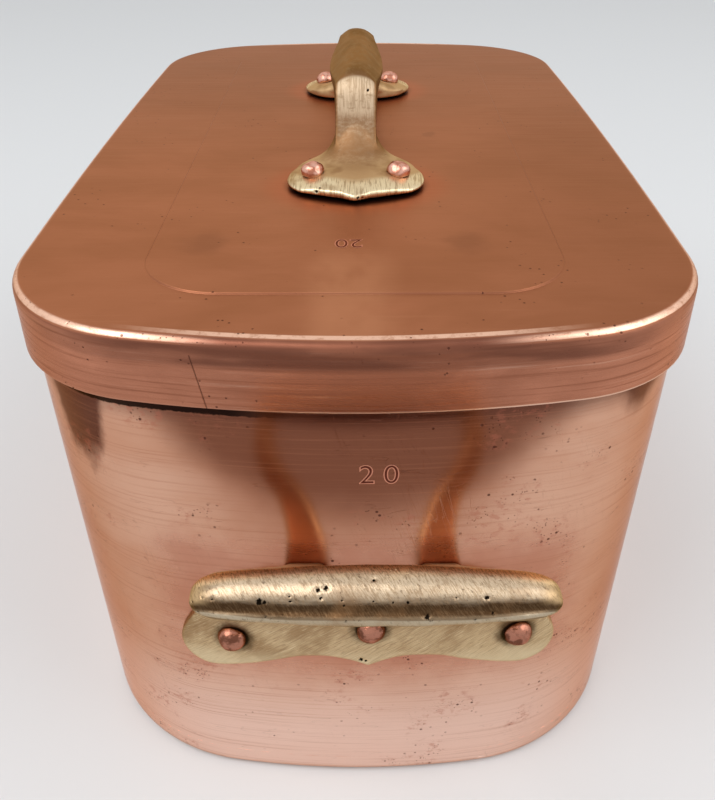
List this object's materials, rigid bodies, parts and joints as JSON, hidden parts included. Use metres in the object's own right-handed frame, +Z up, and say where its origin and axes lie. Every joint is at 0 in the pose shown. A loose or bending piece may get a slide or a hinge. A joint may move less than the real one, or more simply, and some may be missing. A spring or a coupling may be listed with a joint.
{
  "type": "copper braising pan",
  "caption": "Oblong copper braising pan with bowed sides, a slip-over lid with a skirt, riveted brass loop handles at the ends and a bridge handle on the lid.",
  "frame": {"origin": "on the surface that the pan stands on, below the middle of the whole object", "axes": "+Y along the length, away from the front handle; +X to the right of someone at the front handle; +Z up"},
  "size_m": [0.203, 0.4426, 0.2122],
  "materials": {
    "pan_copper": "brushed copper, lightly tarnished",
    "lid_copper": "brushed copper, brown with age",
    "cast_brass": "filed brass casting",
    "rivet_copper": "hammered copper",
    "tin": "wiped tin, dull"
  },
  "bodies": {
    "pan": {"pan_wall": "pan_copper", "pan_base": "pan_copper", "pan_tin_lining": "tin", "front_handle": "cast_brass", "rear_handle": "cast_brass", "front_rivet_left": "rivet_copper", "front_rivet_middle": "rivet_copper", "front_rivet_right": "rivet_copper", "rear_rivet_left": "rivet_copper", "rear_rivet_middle": "rivet_copper", "rear_rivet_right": "rivet_copper"},
    "lid": {"lid_top": "lid_copper", "lid_skirt": "lid_copper", "lid_tin_lining": "tin", "lid_handle": "cast_brass", "lid_rivet_front_left": "rivet_copper", "lid_rivet_front_right": "rivet_copper", "lid_rivet_rear_left": "rivet_copper", "lid_rivet_rear_right": "rivet_copper"}
  },
  "joints": [
    {"name": "lid_lift", "type": "slide", "parent": "pan", "child": "lid", "axis": [0, 0, 1], "range_m": [0, 0.15]}
  ]
}
